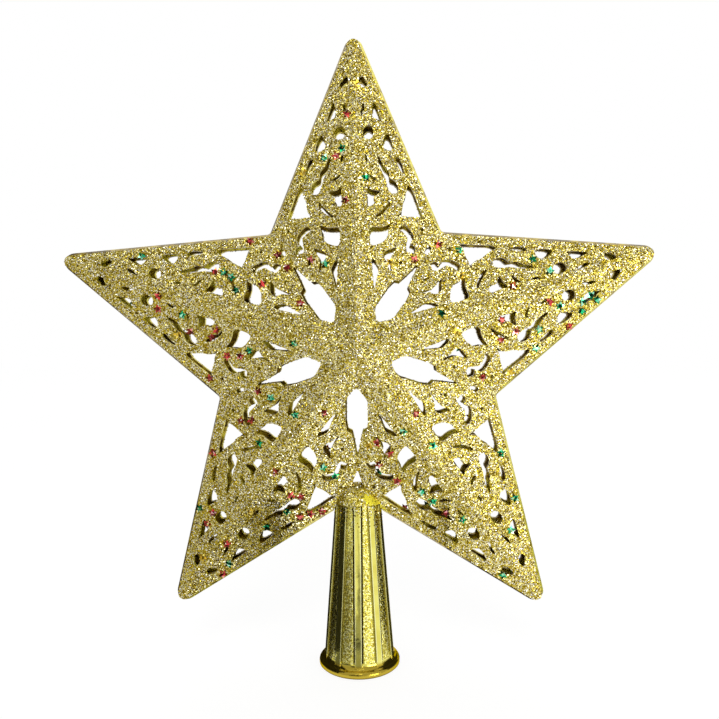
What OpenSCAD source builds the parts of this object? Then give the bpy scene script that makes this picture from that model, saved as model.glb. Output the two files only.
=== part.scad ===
// Five-pointed tree topper star: two pierced half shells that meet at a middle plane,
// a ribbed socket that slips over the top shoot of a tree, and small glued-on sequins.
// Origin at the middle of the socket's bottom, +Z up, the star's front faces -Y.

/* [Star] */
// Distance from the star's centre to the sharp point where an arm's edges would meet
tip_radius = 110; // [95:0.5:125]
// Distance from the star's centre to each inner corner between two arms
notch_radius = 49.5; // [44:0.5:55]
// Radius that rounds the end of each arm
tip_round = 3.2; // [2.4:0.1:4.2]
// Radius that softens each inner corner
notch_round = 1.5; // [0.8:0.1:3]
// Height of the facets above the middle plane at the star's centre
hub_height = 9.1; // [7:0.1:12]
// Height of the side wall above the middle plane
rim_height = 3.35; // [2.8:0.05:4.5]
// How far the side wall leans in between the middle plane and the facets
rim_lean = 1.2; // [0.6:0.1:1.5]

/* [Shell walls] */
// Thickness of the pierced facets, measured along the pull of the mould
face_wall = 1.6; // [1.2:0.1:2]
// Thickness of the side wall at the middle plane
rim_wall = 2.4; // [2:0.1:2.8]
// Radius inside each point
cavity_round = 0.8; // [0.4:0.1:1.6]
// Radius of the smallest round openings
dot_radius = 0.62; // [0.4:0.02:0.8]

/* [Locating pins] */
// Radius of the post in the middle of each shell
hub_post_radius = 3.2; // [2.6:0.1:4]
// Radius of the pin on the middle post
hub_pin_radius = 1.5; // [1:0.1:2]
// How far the middle pin reaches into the rear shell
hub_pin_length = 4; // [2:0.1:5]
// Radius of the post near the end of each arm
tip_post_radius = 1.9; // [1.6:0.1:2.2]
// Radius of the pin near the end of each arm
tip_pin_radius = 0.9; // [0.6:0.05:1.1]
// How far the pin near the end of each arm reaches into the rear shell
tip_pin_length = 1.8; // [1:0.1:2.2]
// Gap between each pin and its hole
pin_clearance = 0.15; // [0.1:0.05:0.3]

/* [Socket] */
// Radius over the ribs at the bottom of the socket
foot_radius = 12.3; // [11:0.1:14]
// Radius over the ribs at the shoulder
neck_radius = 7.9; // [7:0.1:9]
// Height of the shoulder that the star stands on
shoulder_height = 55.2; // [45:0.2:70]
// How far the shoulder stands out past the domed spigot
shoulder_width = 1.27; // [1:0.01:1.6]
// How far the centre of the dome lies below the shoulder
dome_drop = 1.9; // [1:0.1:3]
// How far the bottom flange stands out past the ribs
flange_lip = 1.5; // [1:0.1:3]
// Height of the flange's widest point
flange_height = 0.9; // [0.6:0.1:2]
// Radius that rounds the flange's edge above its widest point
flange_round = 1.3; // [0.8:0.1:1.6]
// Width of the bevel round the flange's bottom edge
flange_bevel = 0.3; // [0.1:0.05:0.5]
// Least radius of the hollow flare between the flange's edge and the wall
flare_radius = 2; // [1:0.1:3]
// Number of ribs, one of them at the front
rib_count = 10; // [6:1:12]
// Width of each rib
rib_width = 2.3; // [1.5:0.1:2.8]
// How far the ribs stand out from the panels between them
rib_height = 0.45; // [0.3:0.05:0.7]
// How far below the shoulder the ribs and grooves stop
rib_stop = 0.3; // [0.2:0.1:0.8]
// Width of the groove along each side of a rib
groove_width = 0.45; // [0.3:0.05:0.6]
// Depth of the grooves
groove_depth = 0.35; // [0.2:0.05:0.5]
// Wall thickness at the mouth
mouth_wall = 1.85; // [1.5:0.05:2.2]
// Length of the straight stretch at the mouth
mouth_length = 5; // [3:0.5:10]
// Wall thickness of the domed spigot
dome_wall = 1.4; // [1:0.1:2]

/* [Hood] */
// Gap between the socket and the shells round it
hood_clearance = 0.3; // [0.2:0.05:0.4]
// Wall thickness of the hood over the spigot
hood_wall = 1.2; // [1:0.1:1.6]
// Height of the star's bottom inner corner above the shoulder
notch_lift = 1.9; // [1:0.1:2.6]

/* [Sequins] */
// Radius over the five points of a sequin
sequin_radius = 1.6; // [1.2:0.05:1.8]
// Thickness of a sequin
sequin_thickness = 0.2; // [0.1:0.05:0.4]
// Thickness of the glue under a sequin
glue_film = 0.02; // [0.01:0.01:0.05]

/* [Hidden] */
$fn = 64;
overrun = 1;
arm_count = 5;
arm_turn = 360 / arm_count;
tip_steps = 9;
notch_steps = 5;
flare_steps = 6;
dome_steps = 12;
sequin_turn = 47;

// How much taller than the side wall the leaning stretch of the blank is drawn
lean_reach_share = 1.3;
// Part of an opening's edge that is cut off at each of its corners
corner_share = 0.22;
// Place of the outer posts along an arm
tip_post_share = 0.845;
// Radius of a sequin between its points
sequin_notch_share = 0.5;

// Star geometry worked out from its two radii
half_angle = atan2(notch_radius * sin(arm_turn / 2), tip_radius - notch_radius * cos(arm_turn / 2));
valley_angle = half_angle + arm_turn / 2;
edge_distance = tip_radius * sin(half_angle);
rim_edge_distance = edge_distance - rim_lean;
facet_slope = (hub_height - rim_height) / rim_edge_distance;
facet_tilt = atan(facet_slope);

// Socket and hood geometry worked out from the sizes that they follow
flange_radius = foot_radius + flange_lip;
panel_foot_radius = foot_radius - rib_height;
panel_neck_radius = neck_radius - rib_height;
bore_radius = panel_foot_radius - mouth_wall;
flare_reach = flange_radius - panel_radius(flange_height + flare_radius);
flare = max(flare_radius, flare_reach - flange_round);
flare_angle = acos(1 - flare_reach / (flare + flange_round));
flare_top = flange_height + (flare + flange_round) * sin(flare_angle);
dome_height = shoulder_height - dome_drop;
spigot_radius = sqrt(pow(neck_radius - shoulder_width, 2) + pow(dome_drop, 2));
bore_top_radius = spigot_radius - dome_wall;
rib_top = shoulder_height - rib_stop;
slab_start = (neck_radius - shoulder_width + panel_neck_radius - groove_depth) / 2;
pocket_radius = spigot_radius + hood_clearance;
hood_radius = pocket_radius + hood_wall;
star_height = shoulder_height + notch_lift + notch_radius;

// Openings of one facet. Each point is a share of tip_radius along the ridge of the arm,
// then a share of notch_radius along the valley beside it.
ridge_fin_shares = [[0.105, 0.224], [0.128, 0.206], [0.165, 0.200], [0.212, 0.188], [0.192, 0.226],
    [0.166, 0.256], [0.148, 0.275], [0.134, 0.252], [0.122, 0.234]];
hook_shares = [[0.089, 0.414], [0.102, 0.388], [0.132, 0.374], [0.146, 0.348], [0.166, 0.326],
    [0.177, 0.334], [0.169, 0.375], [0.154, 0.425], [0.142, 0.475], [0.135, 0.464], [0.137, 0.416],
    [0.120, 0.404], [0.102, 0.410]];
inner_pane_shares = [[0.250, 0.184], [0.278, 0.164], [0.310, 0.166], [0.302, 0.205], [0.282, 0.255],
    [0.262, 0.310], [0.244, 0.370], [0.234, 0.410], [0.229, 0.384], [0.206, 0.378], [0.212, 0.315],
    [0.230, 0.245]];
wave_shares = [[0.044, 0.684], [0.064, 0.638], [0.086, 0.586], [0.104, 0.582], [0.120, 0.604],
    [0.136, 0.582], [0.160, 0.546], [0.189, 0.492], [0.184, 0.542], [0.166, 0.582], [0.142, 0.620],
    [0.120, 0.654], [0.090, 0.680], [0.096, 0.648], [0.094, 0.626], [0.080, 0.658], [0.064, 0.688]];
edge_pane_shares = [[0.239, 0.456], [0.229, 0.506], [0.226, 0.544], [0.252, 0.552], [0.258, 0.586],
    [0.282, 0.606], [0.250, 0.658], [0.200, 0.706], [0.154, 0.748], [0.106, 0.796], [0.138, 0.734],
    [0.172, 0.636], [0.208, 0.548]];
blade_slit_shares = [[0.324, 0.230], [0.312, 0.250], [0.300, 0.300], [0.289, 0.360], [0.290, 0.416],
    [0.306, 0.406], [0.310, 0.330], [0.316, 0.280]];
middle_pane_shares = [[0.394, 0.136], [0.412, 0.150], [0.446, 0.140], [0.422, 0.184], [0.404, 0.226],
    [0.386, 0.270], [0.370, 0.304], [0.376, 0.264], [0.384, 0.224], [0.374, 0.216], [0.358, 0.244],
    [0.366, 0.200], [0.376, 0.162]];
ridge_slit_shares = [[0.486, 0.140], [0.470, 0.170], [0.450, 0.210], [0.432, 0.246], [0.420, 0.264],
    [0.428, 0.234], [0.446, 0.196], [0.466, 0.162]];
short_slit_shares = [[0.552, 0.116], [0.538, 0.146], [0.514, 0.162], [0.520, 0.132]];
long_slot_shares = [[0.299, 0.484], [0.322, 0.416], [0.356, 0.376], [0.384, 0.360], [0.412, 0.330],
    [0.442, 0.296], [0.466, 0.276], [0.498, 0.256], [0.472, 0.298], [0.444, 0.326], [0.422, 0.362],
    [0.400, 0.396], [0.376, 0.402], [0.356, 0.444], [0.330, 0.488], [0.306, 0.504]];
edge_slit_shares = [[0.414, 0.458], [0.406, 0.496], [0.384, 0.528], [0.358, 0.554], [0.326, 0.572],
    [0.344, 0.536], [0.378, 0.500]];
outer_pane_shares = [[0.566, 0.216], [0.574, 0.172], [0.594, 0.126], [0.616, 0.098], [0.634, 0.106],
    [0.628, 0.150], [0.608, 0.196], [0.584, 0.228]];
edge_drop_shares = [[0.444, 0.442], [0.466, 0.382], [0.492, 0.332], [0.514, 0.322], [0.524, 0.370],
    [0.500, 0.406], [0.466, 0.442]];
outer_drop_shares = [[0.576, 0.322], [0.604, 0.262], [0.628, 0.212], [0.650, 0.204], [0.674, 0.228],
    [0.644, 0.260], [0.616, 0.288]];
ridge_drop_shares = [[0.678, 0.070], [0.694, 0.086], [0.710, 0.092], [0.708, 0.116], [0.686, 0.128],
    [0.674, 0.108]];
tip_drop_shares = [[0.742, 0.156], [0.752, 0.116], [0.772, 0.080], [0.792, 0.058], [0.808, 0.064],
    [0.796, 0.094], [0.774, 0.128], [0.756, 0.158]];
facet_opening_shares = [ridge_fin_shares, hook_shares, inner_pane_shares, wave_shares, edge_pane_shares,
    blade_slit_shares, middle_pane_shares, ridge_slit_shares, short_slit_shares, long_slot_shares,
    edge_slit_shares, outer_pane_shares, edge_drop_shares, outer_drop_shares, ridge_drop_shares,
    tip_drop_shares];

// Middles of the smallest round openings, in the same shares
dot_shares = [[0.076, 0.522], [0.087, 0.768]];

// One half of each opening that lies across a valley, in the same shares, from its inner end
leaf_shares = [[0.010, 0.234], [0.048, 0.222], [0.058, 0.232], [0.058, 0.381], [0.050, 0.451],
    [0.027, 0.507], [0.016, 0.588], [0.003, 0.704]];
valley_slot_shares = [[0.006, 0.792], [0.011, 0.804], [0.010, 0.842], [0.004, 0.858]];
hood_opening_shares = [[0.004, 0.806], [0.037, 0.872], [0.038, 0.884], [0.020, 0.916]];

// Sequins on the front: the arm counted from the top one, the side of its ridge,
// then the place in the same shares
red_sequin_shares = [[0, 1, 0.095, 0.502], [0, 1, 0.416, 0.106], [0, 1, 0.515, 0.205],
    [0, 1, 0.687, 0.075], [0, -1, 0.027, 0.680], [1, 1, 0.112, 0.803], [1, 1, 0.169, 0.448],
    [1, 1, 0.191, 0.495], [1, 1, 0.309, 0.337], [1, 1, 0.336, 0.245], [1, 1, 0.371, 0.360],
    [1, 1, 0.538, 0.218], [1, 1, 0.600, 0.073], [1, -1, 0.027, 0.680], [1, -1, 0.027, 0.790],
    [1, -1, 0.081, 0.338], [1, -1, 0.101, 0.849], [1, -1, 0.181, 0.416], [1, -1, 0.341, 0.387],
    [2, 1, 0.166, 0.110], [2, 1, 0.187, 0.758], [2, 1, 0.248, 0.660], [2, 1, 0.295, 0.457],
    [2, 1, 0.303, 0.583], [2, 1, 0.346, 0.355], [2, 1, 0.425, 0.045], [2, 1, 0.687, 0.074],
    [2, 1, 0.715, 0.239], [2, -1, 0.032, 0.657], [2, -1, 0.152, 0.620], [2, -1, 0.163, 0.530],
    [2, -1, 0.266, 0.675], [2, -1, 0.564, 0.269], [2, -1, 0.610, 0.252], [3, 1, 0.211, 0.128],
    [3, -1, 0.104, 0.429], [3, -1, 0.113, 0.560], [3, -1, 0.170, 0.385], [3, -1, 0.206, 0.509],
    [3, -1, 0.458, 0.275], [4, 1, 0.027, 0.862], [4, 1, 0.458, 0.138], [4, -1, 0.071, 0.738],
    [4, -1, 0.280, 0.400], [4, -1, 0.346, 0.357], [4, -1, 0.378, 0.185], [4, -1, 0.453, 0.497],
    [4, -1, 0.538, 0.167]];
green_sequin_shares = [[0, 1, 0.142, 0.340], [0, 1, 0.460, 0.343], [0, 1, 0.563, 0.135],
    [0, -1, 0.474, 0.135], [1, 1, 0.139, 0.130], [1, 1, 0.179, 0.361], [1, 1, 0.467, 0.199],
    [1, -1, 0.289, 0.386], [1, -1, 0.307, 0.261], [1, -1, 0.304, 0.417], [1, -1, 0.601, 0.312],
    [2, 1, 0.115, 0.640], [2, 1, 0.177, 0.461], [2, 1, 0.370, 0.420], [2, 1, 0.476, 0.338],
    [2, 1, 0.681, 0.228], [2, -1, 0.088, 0.486], [2, -1, 0.209, 0.147], [2, -1, 0.289, 0.300],
    [2, -1, 0.520, 0.432], [3, 1, 0.276, 0.644], [3, 1, 0.342, 0.066], [3, 1, 0.478, 0.465],
    [3, 1, 0.642, 0.209], [3, -1, 0.238, 0.110], [3, -1, 0.334, 0.352], [3, -1, 0.390, 0.315],
    [3, -1, 0.543, 0.165], [3, -1, 0.753, 0.175], [4, 1, 0.129, 0.724], [4, 1, 0.243, 0.104],
    [4, 1, 0.463, 0.356], [4, 1, 0.568, 0.165], [4, -1, 0.295, 0.616], [4, -1, 0.390, 0.425],
    [4, -1, 0.535, 0.247], [4, -1, 0.545, 0.382], [4, -1, 0.590, 0.288], [4, -1, 0.622, 0.317],
    [4, -1, 0.635, 0.245]];
gold_sequin_shares = [[0, 1, 0.332, 0.590], [0, -1, 0.122, 0.400], [1, 1, 0.380, 0.430],
    [2, 1, 0.555, 0.090], [2, -1, 0.770, 0.065], [3, -1, 0.058, 0.530], [4, 1, 0.215, 0.430],
    [4, -1, 0.135, 0.790], [4, -1, 0.250, 0.155], [0, -1, 0.790, 0.041]];

// Point at a distance and an angle
function polar(distance, angle) = distance * [cos(angle), sin(angle)];

// Points along an arc round a centre
function arc(centre, radius, from, to, steps) =
    [for (i = [0 : steps]) centre + polar(radius, from + (to - from) * i / steps)];

// All points of a list but the first
function after_first(points) = [for (i = [1 : len(points) - 1]) points[i]];

// Direction of an arm's ridge
function ridge_angle(arm) = 90 + arm_turn * arm;

// Point on a facet, given in shares along the ridge of the arm and along the valley beside it
function facet_point(arm, side, shares) =
    polar(shares[0] * tip_radius, ridge_angle(arm))
    + polar(shares[1] * notch_radius, ridge_angle(arm) + side * arm_turn / 2);

// Direction in which a facet falls
function fall_angle(arm, side) = ridge_angle(arm) + side * (90 - half_angle);

// Height of a facet above the middle plane
function facet_height(arm, side, point) = hub_height - facet_slope * (point * polar(1, fall_angle(arm, side)));

// Height of a ridge above the middle plane
function ridge_height(distance) = hub_height - facet_slope * distance * sin(half_angle);

// Outline of the star with its edges moved in and its corners rounded
function star_outline(inset, point_radius, corner_radius) = [
    for (arm = [0 : arm_count - 1])
        let (ridge = ridge_angle(arm), edge = edge_distance - inset, spread = 90 - half_angle)
        each concat(
            arc(polar((edge - point_radius) / sin(half_angle), ridge), point_radius,
                ridge - spread, ridge + spread, tip_steps),
            arc(polar((edge + corner_radius) / sin(valley_angle), ridge + arm_turn / 2), corner_radius,
                ridge + spread - 180, ridge + arm_turn - spread - 180, notch_steps))
];

// Outline of an opening with each corner cut off
function softened(points) = [
    for (i = [0 : len(points) - 1])
        let (before = points[(i + len(points) - 1) % len(points)], here = points[i],
            after = points[(i + 1) % len(points)])
        each [here + corner_share * (before - here), here + corner_share * (after - here)]
];

// Half of a valley opening on one side of the valley, then the other half on the way back
function across_valley(arm, half_shares) = concat(
    [for (shares = half_shares) facet_point(arm, 1, shares)],
    [for (i = [len(half_shares) - 1 : -1 : 0]) facet_point(arm + 1, -1, half_shares[i])]);

// Solid between rings of equal point count, closed by fans about its middle
module stacked_rings(rings, heights) {
    count = len(rings[0]);
    points = concat(
        [for (r = [0 : len(rings) - 1]) for (p = rings[r]) [p[0], p[1], heights[r]]],
        [[0, 0, heights[0]], [0, 0, heights[len(rings) - 1]]]);
    sides = [for (r = [0 : len(rings) - 2]) for (i = [0 : count - 1])
        let (next = (i + 1) % count)
        [r * count + i, (r + 1) * count + i, (r + 1) * count + next, r * count + next]];
    bottom = [for (i = [0 : count - 1]) [len(rings) * count, i, (i + 1) % count]];
    top_start = (len(rings) - 1) * count;
    top = [for (i = [0 : count - 1]) [len(rings) * count + 1, top_start + (i + 1) % count, top_start + i]];
    polyhedron(points, concat(sides, bottom, top));
}

// Pyramid whose ten faces are the star's facets
module facet_pyramid() {
    reach = (hub_height + overrun) / (hub_height - rim_height);
    base = [for (arm = [0 : arm_count - 1]) each [
        polar(reach * rim_edge_distance / sin(half_angle), ridge_angle(arm)),
        polar(reach * rim_edge_distance / sin(valley_angle), ridge_angle(arm) + arm_turn / 2)]];
    count = len(base);
    points = concat([for (p = base) [p[0], p[1], -overrun]], [[0, 0, -overrun], [0, 0, hub_height]]);
    bottom = [for (i = [0 : count - 1]) [count, i, (i + 1) % count]];
    facets = [for (i = [0 : count - 1]) [count + 1, (i + 1) % count, i]];
    polyhedron(points, concat(bottom, facets));
}

// Solid star half with leaning side walls
module star_blank() {
    lean = rim_lean * lean_reach_share;
    upright = star_outline(lean, tip_round - lean, notch_round + lean);
    intersection() {
        stacked_rings([star_outline(0, tip_round, notch_round), upright, upright],
            [0, rim_height * lean_reach_share, hub_height + overrun]);
        facet_pyramid();
    }
}

// Space inside a star half
module star_cavity() {
    intersection() {
        translate([0, 0, -overrun])
            linear_extrude(hub_height + overrun)
                polygon(star_outline(rim_wall, cavity_round, notch_round + rim_wall));
        translate([0, 0, -face_wall]) facet_pyramid();
    }
}

// All openings, cut straight through along the pull of the mould
module star_openings() {
    translate([0, 0, -overrun])
        linear_extrude(hub_height + 2 * overrun)
            for (arm = [0 : arm_count - 1]) {
                for (side = [-1, 1]) {
                    for (opening = facet_opening_shares)
                        polygon(softened([for (shares = opening) facet_point(arm, side, shares)]));
                    for (shares = dot_shares)
                        translate(facet_point(arm, side, shares)) circle(dot_radius);
                }
                polygon(across_valley(arm, leaf_shares));
                polygon(across_valley(arm, arm == 2 ? hood_opening_shares : valley_slot_shares));
            }
}

// Front half of the dome that covers the socket's spigot, in the frame of a star half
module hood_half() {
    translate([0, shoulder_height - star_height, 0])
        intersection() {
            translate([0, -dome_drop, 0]) sphere(hood_radius);
            translate([-hood_radius, 0, 0]) cube([2 * hood_radius, hood_radius, hood_radius]);
        }
}

// Room for the socket, in the frame of a star half
module socket_room() {
    translate([0, -star_height, 0]) {
        translate([0, dome_height, 0]) sphere(pocket_radius);
        rotate([-90, 0, 0])
            cylinder(h = shoulder_height, r1 = foot_radius + hood_clearance, r2 = neck_radius + hood_clearance);
    }
}

// Post from the middle plane up into the facets at a distance along a ridge
module post(distance, radius) {
    cylinder(h = ridge_height(distance) - face_wall / 2, r = radius);
}

// Half shell before it gets its pins or pin holes
module shell_half() {
    difference() {
        union() {
            difference() {
                star_blank();
                star_cavity();
                star_openings();
            }
            hood_half();
            post(0, hub_post_radius);
            for (arm = [0 : arm_count - 1])
                translate(polar(tip_post_share * tip_radius, ridge_angle(arm)))
                    post(tip_post_share * tip_radius, tip_post_radius);
        }
        socket_room();
    }
}

// Pins, or with a clearance their holes, reaching from the middle plane by their length
module pins(clearance) {
    translate([0, 0, -overrun])
        cylinder(h = hub_pin_length + clearance + overrun, r = hub_pin_radius + clearance);
    for (arm = [0 : arm_count - 1])
        translate(polar(tip_post_share * tip_radius, ridge_angle(arm))) translate([0, 0, -overrun])
            cylinder(h = tip_pin_length + clearance + overrun, r = tip_pin_radius + clearance);
}

// Stands a star half up with its front towards -Y
module stand_up() {
    translate([0, 0, star_height]) rotate([90, 0, 0]) children();
}

module front_shell() {
    color([0.80, 0.69, 0.32])
        stand_up()
            union() {
                shell_half();
                mirror([0, 0, 1]) pins(0);
            }
}

module rear_shell() {
    color([0.74, 0.62, 0.26])
        stand_up()
            mirror([0, 0, 1])
                difference() {
                    shell_half();
                    pins(pin_clearance);
                }
}

// Radius of the panels between the ribs at a height
function panel_radius(height) =
    panel_foot_radius + (panel_neck_radius - panel_foot_radius) * height / shoulder_height;

// Outer profile of the socket without its ribs
module socket_profile() {
    wall_radius = flange_radius - flare_reach;
    spigot_angle = asin(dome_drop / spigot_radius);
    polygon(concat(
        [[0, 0], [flange_radius - flange_bevel, 0], [flange_radius, flange_bevel]],
        arc([flange_radius - flange_round, flange_height], flange_round, 0, flare_angle, flare_steps),
        after_first(arc([wall_radius + flare, flare_top], flare, 180 + flare_angle, 180, flare_steps)),
        [[panel_neck_radius, shoulder_height]],
        arc([0, dome_height], spigot_radius, spigot_angle, 90, dome_steps)));
}

// Profile of the socket's hollow: straight at the mouth, then narrowing to a dome
module bore_profile() {
    polygon(concat(
        [[0, -overrun], [bore_radius, -overrun], [bore_radius, mouth_length]],
        arc([0, dome_height], bore_top_radius, 0, 90, dome_steps)));
}

// Upright slabs that start inside the wall, one for each rib, moved sideways by an offset
module rib_slabs(offset, width, bottom) {
    for (i = [0 : rib_count - 1])
        rotate([0, 0, 360 * i / rib_count - 90])
            translate([slab_start, offset - width / 2, bottom])
                cube([flange_radius - slab_start, width, rib_top - bottom]);
}

module treetop_socket() {
    groove_offset = (rib_width + groove_width) / 2;
    color([0.82, 0.70, 0.25])
        difference() {
            union() {
                rotate_extrude() socket_profile();
                intersection() {
                    cylinder(h = shoulder_height, r1 = foot_radius, r2 = neck_radius);
                    rib_slabs(0, rib_width, flange_height);
                }
            }
            difference() {
                union() {
                    rib_slabs(groove_offset, groove_width, flare_top);
                    rib_slabs(-groove_offset, groove_width, flare_top);
                }
                cylinder(h = shoulder_height, r1 = panel_foot_radius - groove_depth,
                    r2 = panel_neck_radius - groove_depth);
            }
            rotate_extrude() bore_profile();
        }
}

// Star-shaped sequin lying on the plane z = 0
module sequin() {
    linear_extrude(sequin_thickness)
        polygon([for (i = [0 : 9])
            polar(i % 2 == 0 ? sequin_radius : sequin_radius * sequin_notch_share, i * 36)]);
}

// Sequins glued to the facets of a star half
module sequins(places) {
    for (i = [0 : len(places) - 1])
        let (arm = places[i][0], side = places[i][1],
            point = facet_point(arm, side, [places[i][2], places[i][3]]))
        translate([point[0], point[1], facet_height(arm, side, point) + glue_film])
            rotate([0, facet_tilt, fall_angle(arm, side)])
                rotate([0, 0, i * sequin_turn])
                    sequin();
}

// Sequins of one colour on the front shell
module front_sequins(places) {
    stand_up() sequins(places);
}

// The same places seen from behind
module rear_sequins(places) {
    stand_up() rotate([0, 180, 0]) sequins(places);
}

module front_red_sequins() { color("crimson") front_sequins(red_sequin_shares); }
module front_green_sequins() { color("seagreen") front_sequins(green_sequin_shares); }
module front_gold_sequins() { color("orange") front_sequins(gold_sequin_shares); }
module rear_red_sequins() { color("crimson") rear_sequins(red_sequin_shares); }
module rear_green_sequins() { color("seagreen") rear_sequins(green_sequin_shares); }
module rear_gold_sequins() { color("orange") rear_sequins(gold_sequin_shares); }

front_shell();
rear_shell();
treetop_socket();
front_red_sequins();
front_green_sequins();
front_gold_sequins();
rear_red_sequins();
rear_green_sequins();
rear_gold_sequins();
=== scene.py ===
"""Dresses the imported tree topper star: glitter, foil sequins, a metallised socket, studio light and camera.

The shells, the socket and the sequins are the CAD nodes with materials of their own. The glitter coat is
real geometry: small hexagonal flakes, each with its own tilt and tone, over a sparkling ground.
Lengths are in metres, in the frame of the CAD: +Z up, the star's front faces -Y.
"""

import math

import bpy
import numpy as np
from mathutils import Matrix, Vector


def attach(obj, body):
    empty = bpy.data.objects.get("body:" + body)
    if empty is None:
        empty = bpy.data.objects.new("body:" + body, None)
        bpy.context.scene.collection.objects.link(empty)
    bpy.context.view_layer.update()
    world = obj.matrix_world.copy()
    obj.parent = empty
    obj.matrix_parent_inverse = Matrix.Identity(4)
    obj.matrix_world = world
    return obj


MM = 0.001
TINY = 1e-20
FRONT_SEED, REAR_SEED, DUST_SEED, PEBBLE_SEED = 11, 12, 13, 14

# Sizes and places of the part, as in its CAD source
STAR_CENTRE = Vector((0, 0, 0.1066))
ARM_COUNT = 5
HOOD_RADIUS, DOME_CENTRE = 8.4 * MM, np.array((0, 0, 0.0533))
SOCKET_TOP, FLARE_TOP = 0.0552, 0.0040
RIB_COUNT, RIB_WIDTH, GROOVE_WIDTH = 10, 2.3 * MM, 0.45 * MM

# Radius of the panels between the ribs, at the flare and at the shoulder, and how fast it grows downwards
PANEL_FOOT_RADIUS, PANEL_NECK_RADIUS = 11.62 * MM, 7.45 * MM
PANEL_FALL = (PANEL_FOOT_RADIUS - PANEL_NECK_RADIUS) / (SOCKET_TOP - FLARE_TOP)

# Glitter spilled over the top of the hood in front, and a band beside the dome that is rubbed bare.
# The band's start and way are an X and a Z.
SPILL_CENTRE, SPILL_RADIUS = np.array((0, -0.0055, 0.0612)), 5 * MM
BAND_START, BAND_WAY = (0.0025, 0.0587), (0.718, -0.696)
BAND_LENGTH, BAND_WIDTH = 12 * MM, 2.6 * MM

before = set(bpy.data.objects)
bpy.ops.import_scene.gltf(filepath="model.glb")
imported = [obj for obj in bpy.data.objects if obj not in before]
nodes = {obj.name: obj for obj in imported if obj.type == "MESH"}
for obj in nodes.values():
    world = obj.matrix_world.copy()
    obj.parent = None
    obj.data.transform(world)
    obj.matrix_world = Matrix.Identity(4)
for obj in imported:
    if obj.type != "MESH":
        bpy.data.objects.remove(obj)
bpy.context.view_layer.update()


# Node helpers

def material(name):
    """A new material, its node tree and its Principled shader."""
    made = bpy.data.materials.new(name)
    made.use_nodes = True
    tree = made.node_tree
    return made, tree, tree.nodes["Principled BSDF"]


def node(tree, kind, inputs=None, **settings):
    """A node of a kind, with settings. A value of inputs is a constant or an output socket."""
    made = tree.nodes.new(kind)
    for name, value in settings.items():
        setattr(made, name, value)
    for name, value in (inputs or {}).items():
        if isinstance(value, bpy.types.NodeSocket):
            tree.links.new(value, made.inputs[name])
        else:
            made.inputs[name].default_value = value
    return made


def maths(tree, operation, *values, clamp=False):
    """Result of a Math node."""
    made = node(tree, "ShaderNodeMath", dict(enumerate(values)), operation=operation, use_clamp=clamp)
    return made.outputs[0]


def product(tree, first, *others):
    """Product of two or more values."""
    for other in others:
        first = maths(tree, "MULTIPLY", first, other)
    return first


def scaled_sum(tree, value, factor, added, clamp=False):
    """A value times a factor, plus another value."""
    return maths(tree, "MULTIPLY_ADD", value, factor, added, clamp=clamp)


def larger(tree, first, second):
    """The larger of two values."""
    return maths(tree, "MAXIMUM", first, second)


def over(tree, value, limit):
    """1 where a value is over a limit."""
    return maths(tree, "GREATER_THAN", value, limit)


def under(tree, value, limit):
    """1 where a value is under a limit."""
    return maths(tree, "LESS_THAN", value, limit)


def vectors(tree, operation, *values):
    """Vector result of a Vector Math node."""
    made = node(tree, "ShaderNodeVectorMath", dict(enumerate(values)), operation=operation)
    return made.outputs["Vector"]


def stretched(tree, vector, share):
    """A vector times a constant."""
    made = node(tree, "ShaderNodeVectorMath", {0: vector, "Scale": share}, operation="SCALE")
    return made.outputs["Vector"]


def distance_to(tree, place, point):
    """Distance from a place to a fixed point."""
    made = node(tree, "ShaderNodeVectorMath", {0: place, 1: tuple(point)}, operation="DISTANCE")
    return made.outputs["Value"]


def axes_of(tree, vector):
    """The X, Y and Z of a vector."""
    return node(tree, "ShaderNodeSeparateXYZ", {0: vector}).outputs


def shares_of(tree, colour):
    """The Red, Green and Blue of a colour."""
    return node(tree, "ShaderNodeSeparateColor", {"Color": colour}).outputs


def remapped(tree, value, low, high, to_low=0.0, to_high=1.0):
    """A value's place between two limits, eased and clamped."""
    made = node(
        tree,
        "ShaderNodeMapRange",
        {"Value": value, "From Min": low, "From Max": high, "To Min": to_low, "To Max": to_high},
        interpolation_type="SMOOTHSTEP",
    )
    return made.outputs["Result"]


def falling(tree, value, low, high):
    """1 up to the lower limit, easing to 0 at the higher one."""
    return remapped(tree, value, low, high, to_low=1.0, to_high=0.0)


def ramp(tree, value, stops):
    """Colour of a value on a ramp of (place, colour) stops."""
    made = node(tree, "ShaderNodeValToRGB", {"Fac": value})
    elements = made.color_ramp.elements
    while len(elements) < len(stops):
        elements.new(1.0)
    for element, (place, colour) in zip(elements, stops):
        element.position = place
        element.color = (*colour, 1)
    return made.outputs["Color"]


# Sockets of a Mix node for each kind of value: the first value, the second and the result
MIX_SOCKETS = {"RGBA": (6, 7, 2), "VECTOR": (4, 5, 1)}


def mixed(tree, share, first, second, kind="RGBA"):
    """The first value where share is 0, the second where it is 1."""
    at_first, at_second, result = MIX_SOCKETS[kind]
    made = node(tree, "ShaderNodeMix", {0: share, at_first: first, at_second: second}, data_type=kind)
    return made.outputs[result]


def object_place(tree):
    """Place on the object, which is the place in the frame."""
    return node(tree, "ShaderNodeTexCoord").outputs["Object"]


def noise(tree, place, scale, detail):
    """Smooth noise, with its scale in waves a metre."""
    made = node(tree, "ShaderNodeTexNoise", {"Vector": place, "Scale": scale, "Detail": detail})
    return made.outputs["Fac"]


def cells(tree, place, scale):
    """Voronoi cells, so many a metre: a random colour for each, and the distance from its middle."""
    made = node(tree, "ShaderNodeTexVoronoi", {"Vector": place, "Scale": scale}, feature="F1")
    return made.outputs["Color"], made.outputs["Distance"]


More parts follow.
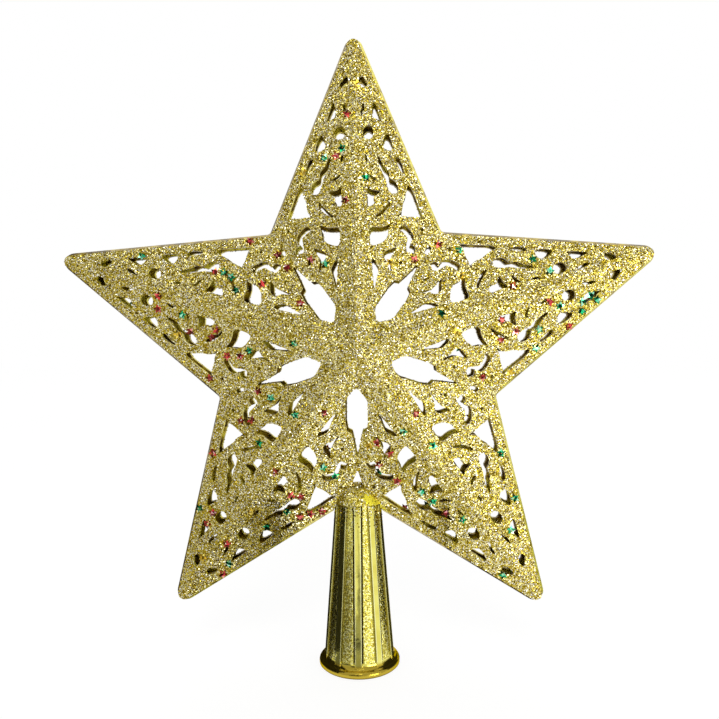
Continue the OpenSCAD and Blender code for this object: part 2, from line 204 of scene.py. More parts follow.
def bumped(tree, height, strength, depth, normal=None):
    """Normal of a surface that is raised by a height, over its own normal or over another one."""
    made = node(tree, "ShaderNodeBump", {"Height": height, "Strength": strength, "Distance": depth})
    if normal is not None:
        tree.links.new(normal, made.inputs["Normal"])
    return made.outputs["Normal"]


def tilted_normal(tree, random_vector, amount):
    """The surface's normal, tipped by a random vector between 0 and 1."""
    normal = node(tree, "ShaderNodeNewGeometry").outputs["Normal"]
    centred = vectors(tree, "SUBTRACT", random_vector, (0.5, 0.5, 0.5))
    return vectors(tree, "NORMALIZE", vectors(tree, "ADD", normal, stretched(tree, centred, amount)))


def feed(tree, shader, name, value):
    """Links a value to an input of the shader."""
    tree.links.new(value, shader.inputs[name])


def make_metal(shader, edge_tint):
    """Makes a shader a metal that has another tint at grazing angles."""
    shader.inputs["Metallic"].default_value = 1.0
    shader.inputs["Specular Tint"].default_value = edge_tint


# Colours, linear

GLITTER_TONES = [
    (0.00, (0.070, 0.036, 0.002)),
    (0.14, (0.230, 0.142, 0.006)),
    (0.34, (0.535, 0.388, 0.016)),
    (0.58, (0.735, 0.602, 0.100)),
    (0.76, (0.890, 0.825, 0.430)),
    (0.90, (0.982, 0.968, 0.850)),
    (1.00, (0.995, 0.990, 0.940)),
]
PLATED_TONES = [
    (0.25, (0.700, 0.600, 0.080)),
    (0.60, (0.860, 0.800, 0.190)),
    (0.85, (0.930, 0.890, 0.330)),
]
PEBBLE_TONES = [
    (0.30, (0.360, 0.260, 0.020)),
    (0.45, (0.680, 0.580, 0.080)),
    (0.58, (0.880, 0.820, 0.270)),
    (0.75, (0.950, 0.930, 0.500)),
]
# Lit and shaded copies of the walls' plating: painted light and painted shade
SHADED_WALL_TONES = [
    (0.38, (0.050, 0.028, 0.005)),
    (0.52, (0.250, 0.145, 0.010)),
    (0.64, (0.640, 0.490, 0.030)),
]
LIT_WALL_TONES = [
    (0.36, (0.340, 0.250, 0.012)),
    (0.46, (0.970, 0.840, 0.030)),
    (0.58, (1.000, 0.930, 0.120)),
]
RED_TONES = [
    (0.00, (0.070, 0.012, 0.008)),
    (0.35, (0.220, 0.034, 0.024)),
    (0.60, (0.440, 0.060, 0.040)),
    (0.80, (0.750, 0.060, 0.070)),
    (0.92, (0.860, 0.260, 0.240)),
    (1.00, (0.970, 0.560, 0.560)),
]
GREEN_TONES = [
    (0.00, (0.003, 0.018, 0.009)),
    (0.30, (0.006, 0.050, 0.022)),
    (0.50, (0.012, 0.300, 0.100)),
    (0.75, (0.040, 0.620, 0.270)),
    (1.00, (0.480, 0.950, 0.680)),
]
GOLD_TONES = [
    (0.00, (0.420, 0.230, 0.020)),
    (0.50, (0.780, 0.500, 0.040)),
    (1.00, (0.960, 0.800, 0.180)),
]
# Painted shade: the grooves beside the ribs and the bottom of the flange
PAINTED_SHADE_TONE = (0.060, 0.042, 0.004, 1)
FLANGE_TONE = (0.540, 0.400, 0.045, 1)
BARE_TONE = (0.970, 0.850, 0.050, 1)
# Painted highlight along the rims of the ribs
RIB_HIGHLIGHT_TONE = (0.960, 0.930, 0.420, 1)
EDGE_TINT = (0.80, 0.66, 0.25, 1)
GLITTER_EDGE_TINT = (0.88, 0.80, 0.50, 1)


# Material of the shells

def hood_masks(tree, place):
    """Two masks: 1 on the hood's dome, and 1 in the bare band that runs from it down to the right."""
    dome_edge, dome_end = HOOD_RADIUS + 0.1 * MM, HOOD_RADIUS + 0.5 * MM
    band_core, band_edge = BAND_WIDTH * 0.35, BAND_WIDTH * 0.6
    band_open, band_full, band_fading = -0.6 * MM, 0.4 * MM, BAND_LENGTH * 0.7
    dome = falling(tree, distance_to(tree, place, DOME_CENTRE), dome_edge, dome_end)
    axes = axes_of(tree, place)
    right = maths(tree, "SUBTRACT", axes["X"], BAND_START[0])
    up = maths(tree, "SUBTRACT", axes["Z"], BAND_START[1])
    off = scaled_sum(tree, right, -BAND_WAY[1], product(tree, up, BAND_WAY[0]))
    along = scaled_sum(tree, right, BAND_WAY[0], product(tree, up, BAND_WAY[1]))
    close = falling(tree, maths(tree, "ABSOLUTE", off), band_core, band_edge)
    begun = remapped(tree, along, band_open, band_full)
    not_ended = falling(tree, along, band_fading, BAND_LENGTH)
    return dome, product(tree, close, begun, not_ended)


def coat_mask(tree, place, cell, outward, dome, band, front):
    """1 where glitter lies: on outward faces, over the hood, and as a few stray flakes on the walls."""
    coat_from, coat_full, hood_limit = 0.42, 0.55, -0.3
    lost_on_dome, lost_in_band, stray_limit = 0.25, 0.7, 0.9
    on_hood_side = over(tree, outward, hood_limit)
    coated = larger(tree, remapped(tree, outward, coat_from, coat_full), product(tree, dome, on_hood_side))
    if front:
        spilled = under(tree, distance_to(tree, place, SPILL_CENTRE), SPILL_RADIUS)
        coated = larger(tree, coated, product(tree, spilled, on_hood_side))
    left_by_band = scaled_sum(tree, band, -lost_in_band, 1.0)
    left = scaled_sum(tree, dome, -lost_on_dome, left_by_band, clamp=True)
    strays = over(tree, shares_of(tree, cell)["Green"], stray_limit)
    return larger(tree, product(tree, coated, left), strays)


def wall_light_and_shade(tree, place, rightward, outward):
    """Walls' plating with painted light and shade: lit yellow facing right, shaded brown elsewhere, lit
    patches inside.
    """
    lit_from, lit_full, inside_limit = 0.05, 0.5, -0.5
    cloud = noise(tree, place, scale=330, detail=2)
    # Painted light: walls that face right and patches on the shells' insides take the lit tones, the rest the
    # shaded ones
    lit_patches = remapped(tree, noise(tree, place, scale=120, detail=1), low=0.50, high=0.60)
    lit = remapped(tree, rightward, lit_from, lit_full)
    lit = larger(tree, lit, product(tree, under(tree, outward, inside_limit), lit_patches))
    return mixed(tree, lit, ramp(tree, cloud, SHADED_WALL_TONES), ramp(tree, cloud, LIT_WALL_TONES))


def shell_material(name, front):
    """Glitter ground on the faces that look to the front or the back, bare plating with painted light and
    shade on the walls.
    """
    made, tree, shader = material(name)
    place = object_place(tree)
    facing = axes_of(tree, node(tree, "ShaderNodeNewGeometry").outputs["True Normal"])
    outward = product(tree, facing["Y"], -1.0 if front else 1.0)
    dome, band = hood_masks(tree, place)
    cell, distance = cells(tree, place, scale=2900)
    coated = coat_mask(tree, place, cell, outward, dome, band, front)

    brightest_tone = 0.86
    tone = product(tree, shares_of(tree, cell)["Red"], brightest_tone)
    # Painted light and shade on the walls
    lit_and_shaded_wall = wall_light_and_shade(tree, place, facing["X"], outward)
    plated = mixed(tree, larger(tree, dome, band), lit_and_shaded_wall, BARE_TONE)
    feed(tree, shader, "Base Color", mixed(tree, coated, plated, ramp(tree, tone, GLITTER_TONES)))

    waves = noise(tree, place, scale=900, detail=2)
    wall_normal = bumped(tree, waves, strength=0.25, depth=0.2 * MM)
    sparkle = tilted_normal(tree, cell, amount=0.75)
    feed(tree, shader, "Normal", mixed(tree, coated, wall_normal, sparkle, "VECTOR"))
    least_roughness, rougher_to_edge, wall_metal = 0.2, 0.2, 0.45
    feed(tree, shader, "Roughness", scaled_sum(tree, distance, rougher_to_edge, least_roughness))
    feed(tree, shader, "Metallic", scaled_sum(tree, coated, 1 - wall_metal, wall_metal))
    shader.inputs["Specular Tint"].default_value = GLITTER_EDGE_TINT
    return made


# Materials of the flakes and the sequins

def flake_material():
    """Loose glitter flakes, each coloured by its own tone."""
    made, tree, shader = material("glitter_flakes")
    tone = node(tree, "ShaderNodeAttribute", attribute_name="tone").outputs["Fac"]
    feed(tree, shader, "Base Color", ramp(tree, tone, GLITTER_TONES))
    grain = noise(tree, object_place(tree), scale=2500, detail=1)
    feed(tree, shader, "Roughness", remapped(tree, grain, low=0.3, high=0.7, to_low=0.16, to_high=0.34))
    make_metal(shader, GLITTER_EDGE_TINT)
    return made


def foil_material(name, tones):
    """Foil of one colour, with another brightness and tilt for each sequin and a few flakes stuck on it."""
    made, tree, shader = material(name)
    place = object_place(tree)
    chance = node(tree, "ShaderNodeNewGeometry").outputs["Random Per Island"]
    cell, _ = cells(tree, place, scale=2600)
    shares = shares_of(tree, cell)
    stuck_limit = 0.92
    stuck = over(tree, shares["Green"], stuck_limit)
    speck = ramp(tree, shares["Red"], GLITTER_TONES)
    feed(tree, shader, "Base Color", mixed(tree, stuck, ramp(tree, chance, tones), speck))

    seed_factor = 97.0
    seed = product(tree, chance, seed_factor)
    tilt = node(tree, "ShaderNodeTexWhiteNoise", {"W": seed}, noise_dimensions="1D").outputs["Color"]
    island = tilted_normal(tree, tilt, amount=0.5)
    dents = noise(tree, place, scale=700, detail=2)
    feed(tree, shader, "Normal", bumped(tree, dents, strength=0.12, depth=0.3 * MM, normal=island))
    make_metal(shader, EDGE_TINT)
    shader.inputs["Roughness"].default_value = 0.18
    return made


# Materials of the socket

def rib_masks(tree, place):
    """Two masks: painted shade on the ribs' sides and in the grooves along them, and painted highlights on
    the rims of their faces.
    """
    axes = axes_of(tree, place)
    turn = maths(tree, "ARCTAN2", axes["X"], product(tree, axes["Y"], -1.0))
    step = 2 * math.pi / RIB_COUNT
    nearest = product(tree, maths(tree, "ROUND", maths(tree, "DIVIDE", turn, step)), step)
    off = maths(tree, "SUBTRACT", turn, nearest)
    y_squared = product(tree, axes["Y"], axes["Y"])
    radius = maths(tree, "SQRT", scaled_sum(tree, axes["X"], axes["X"], y_squared))
    aside = maths(tree, "ABSOLUTE", product(tree, radius, maths(tree, "SINE", off)))
    flare_fade, rib_fade, groove_fade, front_share = 0.3 * MM, 0.05 * MM, 0.08 * MM, 0.25
    over_flare = remapped(tree, axes["Z"], FLARE_TOP, FLARE_TOP + flare_fade)

    # Painted shade in the grooves, darkest on the side of each rib that is turned away from the front
    rib_side, groove_side = RIB_WIDTH / 2, RIB_WIDTH / 2 + GROOVE_WIDTH
    past_rib = remapped(tree, aside, rib_side - rib_fade, rib_side)
    short_of_panel = falling(tree, aside, groove_side, groove_side + groove_fade)
    turned_away = over(tree, product(tree, off, turn), 0.0)
    shade = scaled_sum(tree, turned_away, 1 - front_share, front_share)
    groove_shade = product(tree, past_rib, short_of_panel, over_flare, shade)

    # Painted highlights on the rims of the ribs' faces
    rim_width, rim_fade, rim_edge = 0.3 * MM, 0.12 * MM, 0.02 * MM
    near_rim = remapped(tree, aside, rib_side - rim_width - rim_fade, rib_side - rim_width)
    on_face = falling(tree, aside, rib_side - rim_edge, rib_side + rim_edge)
    return groove_shade, product(tree, near_rim, on_face, over_flare)


def socket_material():
    """Metallised gold: mirror-smooth ribs and flange, painted highlights on the ribs' rims, painted brown
    shade in the grooves along the ribs and a painted shadow under the flange.
    """
    made, tree, shader = material("metallised_socket")
    place = object_place(tree)
    height = axes_of(tree, place)["Z"]
    flange_fade, rim_low, rim_high, shadow_darkness = 1.0 * MM, 0.25 * MM, 0.6 * MM, 0.85
    on_flange = falling(tree, height, FLARE_TOP - flange_fade, FLARE_TOP)
    # Painted shadow: darker towards the bottom of the flange, where it stands on the floor
    underside_shadow = remapped(tree, height, rim_low, rim_high, to_low=shadow_darkness, to_high=0.0)
    groove_shade, rib_highlights = rib_masks(tree, place)
    cloud = noise(tree, place, scale=140, detail=4)
    plated = mixed(tree, on_flange, ramp(tree, cloud, PLATED_TONES), FLANGE_TONE)
    # Painted highlight on the rims of the ribs
    plated = mixed(tree, rib_highlights, plated, RIB_HIGHLIGHT_TONE)
    # Painted shade in the grooves and a painted shadow under the flange
    feed(tree, shader, "Base Color", mixed(tree, larger(tree, groove_shade, underside_shadow), plated, PAINTED_SHADE_TONE))

    edge_radius = 0.5 * MM
    edges = node(tree, "ShaderNodeBevel", {"Radius": edge_radius}, samples=4).outputs["Normal"]
    ripple = noise(tree, place, scale=260, detail=2)
    feed(tree, shader, "Normal", bumped(tree, ripple, strength=0.2, depth=0.4 * MM, normal=edges))
    smears = noise(tree, place, scale=90, detail=5)
    roughness = remapped(tree, smears, low=0.35, high=0.7, to_low=0.08, to_high=0.18)
    feed(tree, shader, "Roughness", roughness)
    make_metal(shader, EDGE_TINT)
    return made


def pebble_material():
    """Frosted panels of the socket: every pebble has its own tone between brown and pale gold."""
    made, tree, shader = material("pebbled_panels")
    chance = node(tree, "ShaderNodeNewGeometry").outputs["Random Per Island"]
    cloud = noise(tree, object_place(tree), scale=1500, detail=2)
    chance_share = 0.45
    tone = scaled_sum(tree, chance, chance_share, product(tree, cloud, 1 - chance_share))
    feed(tree, shader, "Base Color", ramp(tree, tone, PEBBLE_TONES))
    feed(tree, shader, "Normal", bumped(tree, cloud, strength=0.5, depth=0.2 * MM))
    roughness = remapped(tree, chance, low=0.0, high=1.0, to_low=0.15, to_high=0.35)
    feed(tree, shader, "Roughness", roughness)
    make_metal(shader, EDGE_TINT)
    return made


# Materials of the CAD nodes

foils = {
    "red": foil_material("red_foil", RED_TONES),
    "green": foil_material("green_foil", GREEN_TONES),
    "gold": foil_material("gold_foil", GOLD_TONES),
}
dress = {
    "front_shell": shell_material("glittered_front", True),
    "rear_shell": shell_material("glittered_rear", False),
    "treetop_socket": socket_material(),
}
for side in ("front", "rear"):
    for colour, foil in foils.items():
        dress[f"{side}_{colour}_sequins"] = foil
for name, worn in dress.items():
    solid = nodes[name]
    solid.data.materials.clear()
    solid.data.materials.append(worn)


# Mesh helpers

def lengths_of(rows):
    """Length of each row, as a column."""
    return np.linalg.norm(rows, axis=1)[:, None]


def column(values):
    """A row of values as a column."""
    return np.asarray(values)[:, None]


def triangles_of(solid):
    """Corners of an object's triangles, in the frame."""
    mesh = solid.data
    mesh.calc_loop_triangles()
    corners = np.empty(len(mesh.vertices) * 3)
    mesh.vertices.foreach_get("co", corners)
    index = np.empty(len(mesh.loop_triangles) * 3, dtype=np.int32)
    mesh.loop_triangles.foreach_get("vertices", index)
    place = np.array(solid.matrix_world)
    corners = corners.reshape(-1, 3) @ place[:3, :3].T + place[:3, 3]
    return corners[index.reshape(-1, 3)]


def sizes_and_normals(triangles):
    """Area and normal of each triangle."""
    cross = np.cross(triangles[:, 1] - triangles[:, 0], triangles[:, 2] - triangles[:, 0])
    double_area = lengths_of(cross)
    return double_area[:, 0] / 2, cross / np.maximum(double_area, TINY)


def scattered(triangles, per_square_mm, rng):
    """Random points on triangles with their normals."""
    area, normal = sizes_and_normals(triangles)
    count = rng.poisson(area / MM**2 * per_square_mm)
    pick = np.repeat(np.arange(len(triangles)), count)
    u, v = rng.random((2, len(pick), 1))
    outside = u + v > 1
    u, v = np.where(outside, 1 - u, u), np.where(outside, 1 - v, v)
    first, second, third = triangles[:, 0], triangles[:, 1], triangles[:, 2]
    points = first[pick] + u * (second - first)[pick] + v * (third - first)[pick]
    return points, normal[pick]


def middles_of(solid):
    """Middle of each separate solid of a node."""
    mesh = solid.data
    owner = list(range(len(mesh.vertices)))

    def root(i):
        while owner[i] != i:
            owner[i] = owner[owner[i]]
            i = owner[i]
        return i

    for edge in mesh.edges:
        a, b = edge.vertices
        owner[root(a)] = root(b)
    groups = {}
    for vertex in mesh.vertices:
        groups.setdefault(root(vertex.index), []).append(solid.matrix_world @ vertex.co)
    return [sum(group, Vector()) / len(group) for group in groups.values()]


def tangents(normals):
    """Two directions along the surface, square to each other, for each normal."""
    nearly_upright = 0.9
    upward, rightward = [[0.0, 0.0, 1.0]], [[1.0, 0.0, 0.0]]
    helper = np.where(np.abs(normals[:, 2:3]) < nearly_upright, upward, rightward)
    along = np.cross(normals, helper)
    along /= lengths_of(along)
    return along, np.cross(normals, along)


def new_piece(name, corners, loops, sides, worn):
    """Makes a piece from its corners, the corner at each loop and the sides of a face. Gives its mesh."""
    mesh = bpy.data.meshes.new(name)
    mesh.vertices.add(corners.size // 3)
    mesh.vertices.foreach_set("co", corners.ravel())
    mesh.loops.add(len(loops))
    mesh.loops.foreach_set("vertex_index", loops.astype(np.int32))
    mesh.polygons.add(len(loops) // sides)
    mesh.polygons.foreach_set("loop_start", np.arange(0, len(loops), sides, dtype=np.int32))
    mesh.update(calc_edges=True)
    mesh.materials.append(worn)
    piece = bpy.data.objects.new(name, mesh)
    bpy.context.scene.collection.objects.link(piece)
    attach(piece, "root")
    return mesh


# Glitter flakes

FLAKE_SIDES = 6
LEAST_SIZE_SHARE, MOST_SIZE_SHARE, MOST_TILT = 0.75, 1.2, 0.9
SEQUIN_GAP, LEAST_UP = 1.65 * MM, 0.3
FLAKES_PER_SQUARE_MM, FLAKE_RADIUS, FLAKE_TILT, FLAKE_LIFT = 7.0, 0.20 * MM, 0.32, 0.10 * MM
DUST_PER_SQUARE_MM, DUST_RADIUS, DUST_TILT, DUST_LIFT = 6.0, 0.25 * MM, 0.3, 0.08 * MM
DUST_FOOT, DUST_GATHERING, DUST_SHARE = 0.0455, 1.6, 0.6
flake = flake_material()


def flakes(name, points, normals, radius, tilt, lift, rng):
    """One piece of hexagonal flakes that lie roughly on a surface."""
    count = len(points)
    spin = column(rng.random(count) * 2 * math.pi)
    lean = column(np.abs(rng.normal(0, tilt, count)).clip(0, MOST_TILT))
    along, across = tangents(normals)
    towards = np.cos(spin) * along + np.sin(spin) * across
    up = np.cos(lean) * normals + np.sin(lean) * towards
    first = np.cross(up, towards)
    first /= lengths_of(first)
    second = np.cross(up, first)
    size = column(radius * rng.uniform(LEAST_SIZE_SHARE, MOST_SIZE_SHARE, count))
    step = 2 * math.pi / FLAKE_SIDES
    turn = column(rng.random(count)) * step + np.arange(FLAKE_SIDES)[None, :] * step
    middle = points + normals * column(lift * rng.random(count))
    corners = (
        middle[:, None, :]
        + (np.cos(turn) * size)[:, :, None] * first[:, None, :]
        + (np.sin(turn) * size)[:, :, None] * second[:, None, :]
    )
    loops = np.arange(count * FLAKE_SIDES)
    mesh = new_piece(name, corners, loops, FLAKE_SIDES, flake)
    tone = mesh.attributes.new("tone", "FLOAT", "POINT")
    tone.data.foreach_set("value", np.repeat(rng.random(count), FLAKE_SIDES))


def clear_of(points, middles, gap):
    """True for each point that keeps a gap to all middles."""
    keep = np.ones(len(points), dtype=bool)
    for middle in middles:
        keep &= np.linalg.norm(points - np.array(middle), axis=1) > gap
    return keep


def near(points, middle, radius):
    """True for each point within a radius of a middle."""
    return np.linalg.norm(points - middle, axis=1) < radius


def kept_share(points):
    """Share of the flakes that is kept at each point: fewer on the dome, hardly any in the bare band."""
    in_band, on_dome, elsewhere = 0.12, 0.6, 1.0
    band_end, dome_end = BAND_LENGTH * 0.85, HOOD_RADIUS + 0.3 * MM
    right, up = points[:, 0] - BAND_START[0], points[:, 2] - BAND_START[1]
    off = -right * BAND_WAY[1] + up * BAND_WAY[0]
    along = right * BAND_WAY[0] + up * BAND_WAY[1]
    band = (np.abs(off) < BAND_WIDTH / 2) & (along > 0) & (along < band_end)
    dome = near(points, DOME_CENTRE, dome_end)
    return np.where(band, in_band, np.where(dome, on_dome, elsewhere))


def coated_triangles(triangles, forward):
    """Triangles of a shell that carry flakes: its facets, its dome and, in front, the spill on the hood."""
    least_facet, least_dome, dome_margin = 0.9, -0.1, 0.25 * MM
    most_back = 0.1
    _, normal = sizes_and_normals(triangles)
    middle = triangles.mean(axis=1)
    outward = normal[:, 1] * forward
    on_dome = np.abs(np.linalg.norm(middle - DOME_CENTRE, axis=1) - HOOD_RADIUS) < dome_margin
    coated = (outward > least_facet) | (on_dome & (outward > least_dome))
    if forward < 0:
        spilled = near(middle, SPILL_CENTRE, SPILL_RADIUS)
        coated |= spilled & (normal[:, 2] > LEAST_UP) & (normal[:, 1] < most_back)
    return triangles[coated]


def coat_shell(side, forward, rng):
    """Flakes on one shell, a piece for each arm. Those on the hood lean out to the shell's own side."""
    spill_push = 1.6
    triangles = coated_triangles(triangles_of(nodes[f"{side}_shell"]), forward)
    points, normals = scattered(triangles, FLAKES_PER_SQUARE_MM, rng)
    stands = near(points, SPILL_CENTRE, SPILL_RADIUS) & (normals[:, 2] > LEAST_UP)
    normals[stands] += (0, spill_push * forward, 0)
    normals /= lengths_of(normals)
    spots = [middle for colour in foils for middle in middles_of(nodes[f"{side}_{colour}_sequins"])]
    keep = clear_of(points, spots, SEQUIN_GAP)
    keep &= rng.random(len(points)) < kept_share(points)
    points, normals = points[keep], normals[keep]
    from_centre = points - np.array(STAR_CENTRE)
    angle = np.arctan2(from_centre[:, 2], from_centre[:, 0])
    arm = np.round((angle - math.pi / 2) / (2 * math.pi / ARM_COUNT)).astype(int) % ARM_COUNT
    for i in range(ARM_COUNT):
        chosen = arm == i
        name = f"{side}_glitter_{i}"
        flakes(name, points[chosen], normals[chosen], FLAKE_RADIUS, FLAKE_TILT, FLAKE_LIFT, rng)


def dust_socket(rng):
    """Glitter that has dusted the top of the socket under the hood."""
    points, normals = scattered(triangles_of(nodes["treetop_socket"]), DUST_PER_SQUARE_MM, rng)
    height = points[:, 2]
    outward = np.einsum("ij,ij->i", points[:, :2], normals[:, :2])
    rise = ((height - DUST_FOOT) / (SOCKET_TOP - DUST_FOOT)).clip(0, 1)
    chosen = rng.random(len(points)) < rise**DUST_GATHERING * DUST_SHARE
    keep = (outward > 0) & chosen & (height < SOCKET_TOP)
    flakes("socket_glitter", points[keep], normals[keep], DUST_RADIUS, DUST_TILT, DUST_LIFT, rng)


coat_shell("front", -1, np.random.default_rng(FRONT_SEED))
coat_shell("rear", 1, np.random.default_rng(REAR_SEED))
dust_socket(np.random.default_rng(DUST_SEED))


# Pebbled panels of the socket

ROW_HEIGHT, PEBBLE_STEP, PANEL_MARGIN = 0.46 * MM, 0.5 * MM, 0.12 * MM
PEBBLE_SIDES = 6

# Least and most half length, half width and height of a pebble, in millimetres
PEBBLE_LENGTHS, PEBBLE_WIDTHS, PEBBLE_HEIGHTS = (0.27, 0.46), (0.17, 0.28), (0.03, 0.08)

# Rings of a pebble below its top: the share of its radius and the share of its height
PEBBLE_RINGS = ((0.55, 0.72), (1.0, -0.15))


def panel_radius(height):
    """Radius of the panels at a height."""
    return PANEL_NECK_RADIUS + PANEL_FALL * (SOCKET_TOP - height)


def panel_places(rng):
    """Middles and outward normals of the pebbles on the panels between the ribs."""
    lowest, highest = FLARE_TOP + 0.2 * MM, SOCKET_TOP - 0.3 * MM
    least_shift, shift_span, most_rise = 0.15, 0.7, 0.18
    places, normals = [], []
    for height in np.arange(lowest, highest, ROW_HEIGHT):
        radius = panel_radius(height)
        taken = (RIB_WIDTH / 2 + GROOVE_WIDTH + PANEL_MARGIN) / radius
        width = 2 * math.pi / RIB_COUNT - 2 * taken
        count = int(width * radius / PEBBLE_STEP)
        for rib in range(RIB_COUNT):
            first = 2 * math.pi * rib / RIB_COUNT - math.pi / 2 + taken
            shift = rng.random(count) * shift_span + least_shift
            for step in range(count):
                angle = first + width * (step + shift[step]) / count
                z = height + rng.uniform(-most_rise, most_rise) * MM
                radius = panel_radius(z)
                places.append((radius * math.cos(angle), radius * math.sin(angle), z))
                normals.append((math.cos(angle), math.sin(angle), PANEL_FALL))
    normals = np.array(normals)
    return np.array(places), normals / lengths_of(normals)


def pebble_faces(count):
    """Corner at each face loop of the pebbles: a fan round each top and a belt of triangles below it."""
    faces = []
    for i in range(PEBBLE_SIDES):
        j = (i + 1) % PEBBLE_SIDES
        upper, upper_next = 1 + i, 1 + j
        lower, lower_next = upper + PEBBLE_SIDES, upper_next + PEBBLE_SIDES
        faces += [(0, upper, upper_next), (upper, lower, lower_next), (upper, lower_next, upper_next)]
    corners_each = 1 + PEBBLE_SIDES * len(PEBBLE_RINGS)
    starts = np.arange(count) * corners_each
    return (np.array(faces)[None, :, :] + starts[:, None, None]).reshape(-1)


def pebbles(name, worn, rng):
    """One piece of low rounded pebbles that cover the panels."""
    points, normals = panel_places(rng)
    count = len(points)
    along, across = tangents(normals)
    turn = column(rng.random(count) * math.pi)
    first = np.cos(turn) * along + np.sin(turn) * across
    second = np.cos(turn) * across - np.sin(turn) * along
    wide = column(rng.uniform(*PEBBLE_LENGTHS, count) * MM)
    narrow = column(rng.uniform(*PEBBLE_WIDTHS, count) * MM)
    rise = column(rng.uniform(*PEBBLE_HEIGHTS, count) * MM) * normals
    spread = np.arange(PEBBLE_SIDES)[None, :] * 2 * math.pi / PEBBLE_SIDES
    rings = [(points + rise)[:, None, :]]
    for radius_share, height_share in PEBBLE_RINGS:
        rings.append(
            (points + height_share * rise)[:, None, :]
            + (np.cos(spread) * radius_share * wide)[:, :, None] * first[:, None, :]
            + (np.sin(spread) * radius_share * narrow)[:, :, None] * second[:, None, :]
        )
    corners = np.concatenate(rings, axis=1)
    mesh = new_piece(name, corners, pebble_faces(count), sides=3, worn=worn)
    mesh.shade_smooth()


pebbles("socket_pebbles", pebble_material(), np.random.default_rng(PEBBLE_SEED))


# Studio

def stage_face(name, corners, paint):
    """One face that isn't part of the object."""
    mesh = bpy.data.meshes.new(name)
    mesh.from_pydata(corners, [], [(0, 1, 2, 3)])
    mesh.materials.append(paint)
    made = bpy.data.objects.new(name, mesh)
    bpy.context.scene.collection.objects.link(made)
    return made


def matt_paint(name, shade, roughness):
    """A grey matt material, its node tree and its shader."""
    paint, tree, shader = material(name)
    shader.inputs["Base Color"].default_value = (shade, shade, shade, 1)
    shader.inputs["Roughness"].default_value = roughness
    return paint, tree, shader


def floor():
    """Wide pale floor that the shadow falls on. It looks white to the camera and in reflections."""
    half, white, glow_share = 3.0, 1.06, 0.8
    paint, tree, shader = matt_paint("pale_floor", shade=0.9, roughness=0.9)
    path = node(tree, "ShaderNodeLightPath").outputs
    reflected = larger(tree, path["Is Glossy Ray"], path["Is Transmission Ray"])
    seen = larger(tree, path["Is Camera Ray"], reflected)
    glow = node(tree, "ShaderNodeEmission", {"Strength": white}).outputs[0]
    share = product(tree, seen, glow_share)
    both = node(tree, "ShaderNodeMixShader", {0: share, 1: shader.outputs[0], 2: glow}).outputs[0]
    tree.links.new(both, tree.nodes["Material Output"].inputs["Surface"])
    stage_face("floor", [(-half, -half, 0), (half, -half, 0), (half, half, 0), (-half, half, 0)], paint)


def card(name, corners, shade):
    """Dark card that only reflections see."""
    paint, _, _ = matt_paint(name, shade, roughness=1.0)
    made = stage_face(name, corners, paint)
    made.visible_camera = False
    made.visible_diffuse = False
    made.visible_shadow = False


def side_card(name, x, y_range, z_range, shade):
    """Card that stands beside the part."""
    (near_y, far_y), (low_z, high_z) = y_range, z_range
    card(name, [(x, near_y, low_z), (x, far_y, low_z), (x, far_y, high_z), (x, near_y, high_z)], shade)


def front_card(name, y, x_range, z_range, shade):
    """Card that stands in front of the part."""
    (left, right), (low_z, high_z) = x_range, z_range
    card(name, [(left, y, low_z), (right, y, low_z), (right, y, high_z), (left, y, high_z)], shade)


def floor_card(name, height, corners, shade):
    """Card that lies just over the floor, from the X and Y of its corners."""
    card(name, [(x, y, height) for x, y in corners], shade)


def lamp(name, place, target, size, energy):
    """Square soft box that looks at a point."""
    data = bpy.data.lights.new(name, "AREA")
    data.size = size
    data.energy = energy
    made = bpy.data.objects.new(name, data)
    made.location = place
    made.rotation_euler = (Vector(target) - Vector(place)).to_track_quat("-Z", "Y").to_euler()
    bpy.context.scene.collection.objects.link(made)


def studio_world():
    """Plain sky that is a little greyer in front of the part than behind it."""
    grey, white = (0.60, 0.60, 0.60, 1), (1, 1, 1, 1)
    world = bpy.data.worlds.new("studio")
    bpy.context.scene.world = world
    world.use_nodes = True
    tree = world.node_tree
    direction = axes_of(tree, node(tree, "ShaderNodeTexCoord").outputs["Generated"])
    grey_until, white_from = -0.6, 0.5
    behind = remapped(tree, direction["Y"], grey_until, white_from)
    tree.links.new(mixed(tree, behind, grey, white), tree.nodes["Background"].inputs["Color"])


floor()

# Far flags darken the sides of the metal, and the near ones the sides of the socket
side_card("left_flag", x=-0.5, y_range=(-0.1, 0.8), z_range=(0, 0.7), shade=0.03)
side_card("right_flag", x=0.5, y_range=(-0.05, 0.6), z_range=(0, 0.7), shade=0.03)
front_card("camera_flag", y=-0.8, x_range=(-0.4, 0.05), z_range=(0, 0.35), shade=0.05)
front_card("upper_flag", y=-0.8, x_range=(-0.25, 0.22), z_range=(0.48, 0.85), shade=0.3)
side_card("left_near_flag", x=-0.026, y_range=(-0.024, 0.1), z_range=(0, 0.056), shade=0.02)
side_card("right_near_flag", x=0.03, y_range=(-0.01, 0.1), z_range=(0.01, 0.056), shade=0.03)

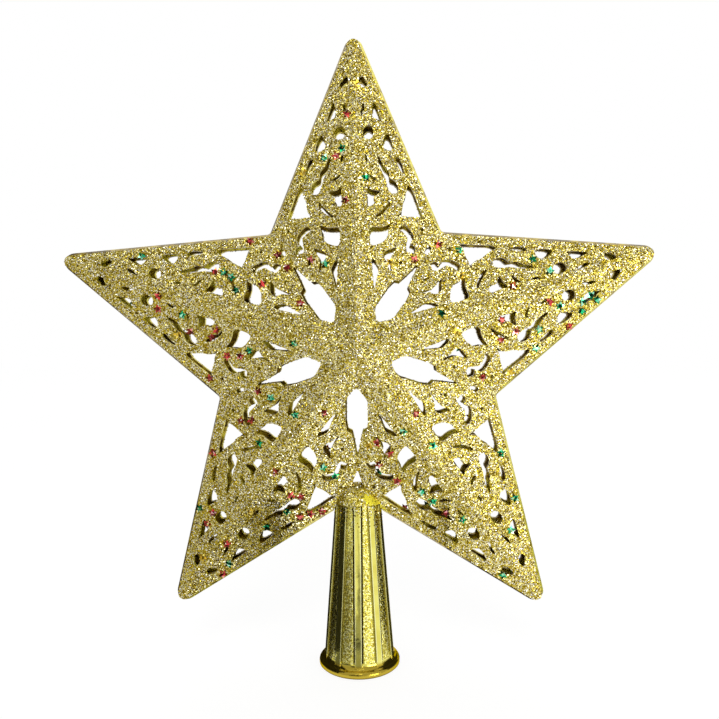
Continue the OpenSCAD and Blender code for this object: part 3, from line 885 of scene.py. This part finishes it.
# Sheets and patches over the floor darken what the facets, the ribs and the flange see of it
SHEET_HEIGHT, PATCH_HEIGHT = 1 * MM, 2 * MM
LEFT_SHEET = [(-0.4, -0.03), (-0.014, -0.005), (-0.014, 0.4), (-0.4, 0.4)]
FRONT_LEFT_SHEET = [(-0.2, -0.15), (-0.13, -0.27), (-0.007, -0.02), (-0.015, -0.008)]
RIGHT_SHEET = [(0.013, 0.0), (0.4, 0.0), (0.3, 0.45), (0.02, 0.03)]
FRONT_STRIP = [(-0.012, -0.45), (0.012, -0.45), (0.004, -0.02), (-0.004, -0.02)]
NEAR_PATCH = [(-0.006, -0.048), (0.004, -0.05), (0.003, -0.034), (-0.005, -0.036)]
FAR_PATCH = [(-0.008, -0.125), (0.006, -0.12), (0.004, -0.1), (-0.008, -0.102)]
floor_card("left_sheet", SHEET_HEIGHT, LEFT_SHEET, shade=0.02)
floor_card("front_left_sheet", SHEET_HEIGHT, FRONT_LEFT_SHEET, shade=0.15)
floor_card("right_sheet", SHEET_HEIGHT, RIGHT_SHEET, shade=0.04)
floor_card("front_strip", SHEET_HEIGHT, FRONT_STRIP, shade=0.42)
floor_card("near_patch", PATCH_HEIGHT, NEAR_PATCH, shade=0.05)
floor_card("far_patch", PATCH_HEIGHT, FAR_PATCH, shade=0.06)

lamp("key", place=(1.5, -1.7, -0.01), target=STAR_CENTRE, size=1.1, energy=31.0)
lamp("fill", place=(0.0, -1.3, 1.3), target=STAR_CENTRE, size=0.6, energy=6.0)
studio_world()


# Camera: it goes round the star's centre by two small angles, rolls a little, then shifts aside

TURN, RISE, ROLL = math.radians(1.77), math.radians(1.66), math.radians(-0.58)
DISTANCE, ASIDE, ABOVE = 0.2279, 0.00102, -0.00279
FOCAL_LENGTH, SENSOR_WIDTH = 33.48, 36

backward = Vector((math.sin(TURN) * math.cos(RISE), -math.cos(TURN) * math.cos(RISE), math.sin(RISE)))
rightward = Vector((0, 0, 1)).cross(backward).normalized()
upward = backward.cross(rightward)
rightward, upward = (
    math.cos(ROLL) * rightward + math.sin(ROLL) * upward,
    math.cos(ROLL) * upward - math.sin(ROLL) * rightward,
)
camera_data = bpy.data.cameras.new("camera")
camera_data.lens = FOCAL_LENGTH
camera_data.sensor_width = SENSOR_WIDTH
camera = bpy.data.objects.new("camera", camera_data)
camera.matrix_world = (
    Matrix.Translation(STAR_CENTRE + DISTANCE * backward + ASIDE * rightward + ABOVE * upward)
    @ Matrix((rightward, upward, backward)).transposed().to_4x4()
)
bpy.context.scene.collection.objects.link(camera)
bpy.context.scene.camera = camera
bpy.context.scene.view_settings.view_transform = "Standard"
